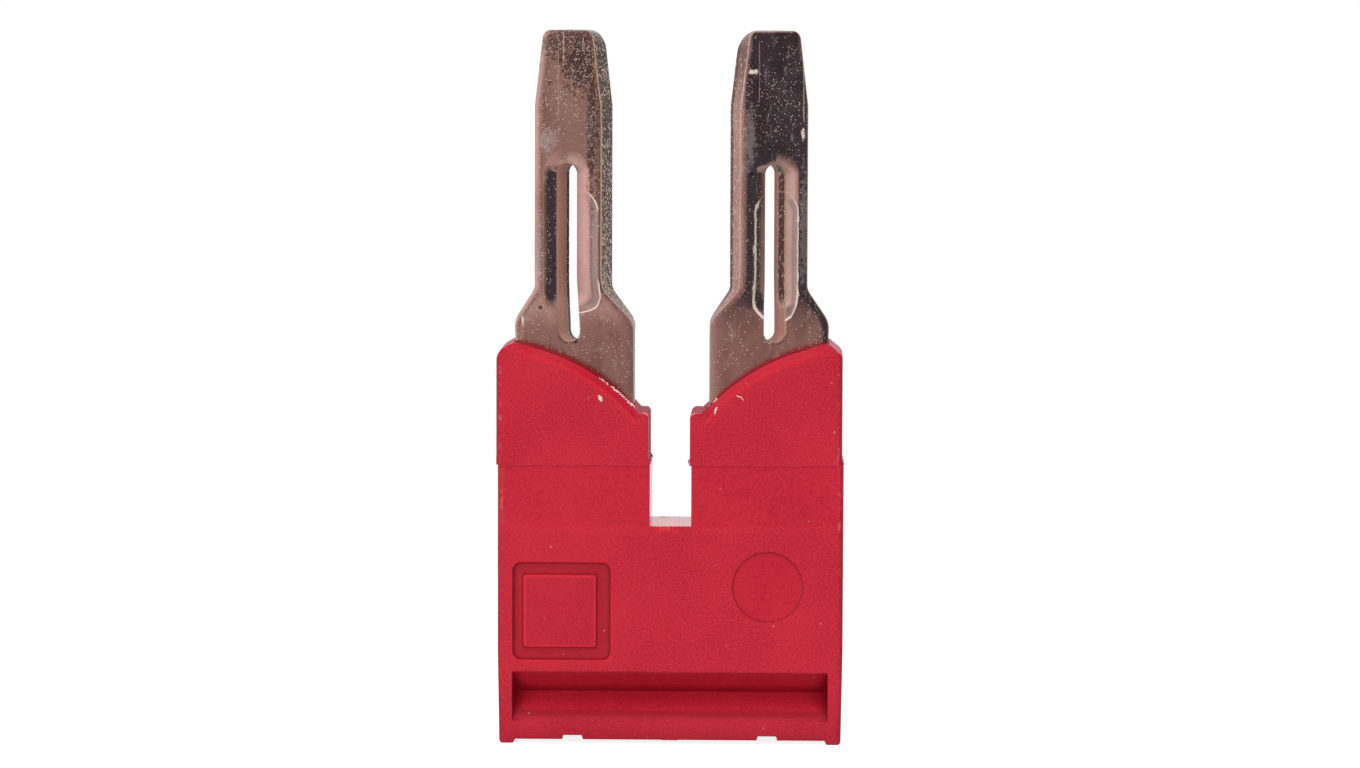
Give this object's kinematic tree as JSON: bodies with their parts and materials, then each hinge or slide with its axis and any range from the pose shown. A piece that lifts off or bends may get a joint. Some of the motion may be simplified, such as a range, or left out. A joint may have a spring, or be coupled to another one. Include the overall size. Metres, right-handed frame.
{
  "type": "terminal block jumper",
  "caption": "Plug-in jumper for terminal blocks: red moulded housing with a pull-out trough, and slotted contact blades that plug into neighbouring terminals to bridge them.",
  "frame": {"origin": "under the middle of the head, on the plane that the foot rails stand on", "axes": "+Z along the legs towards their tips, X across the poles, the front with the square recess faces -Y"},
  "size_m": [0.011, 0.003, 0.0227],
  "materials": {
    "red_plastic": "matte moulded plastic with a fine spark-eroded grain",
    "tinned_copper": "tin-plated copper alloy sheet, bright, with bare copper at the cut edges"
  },
  "bodies": {
    "root": {"insulating_housing": "red_plastic", "contact_comb": "tinned_copper"}
  },
  "joints": []
}
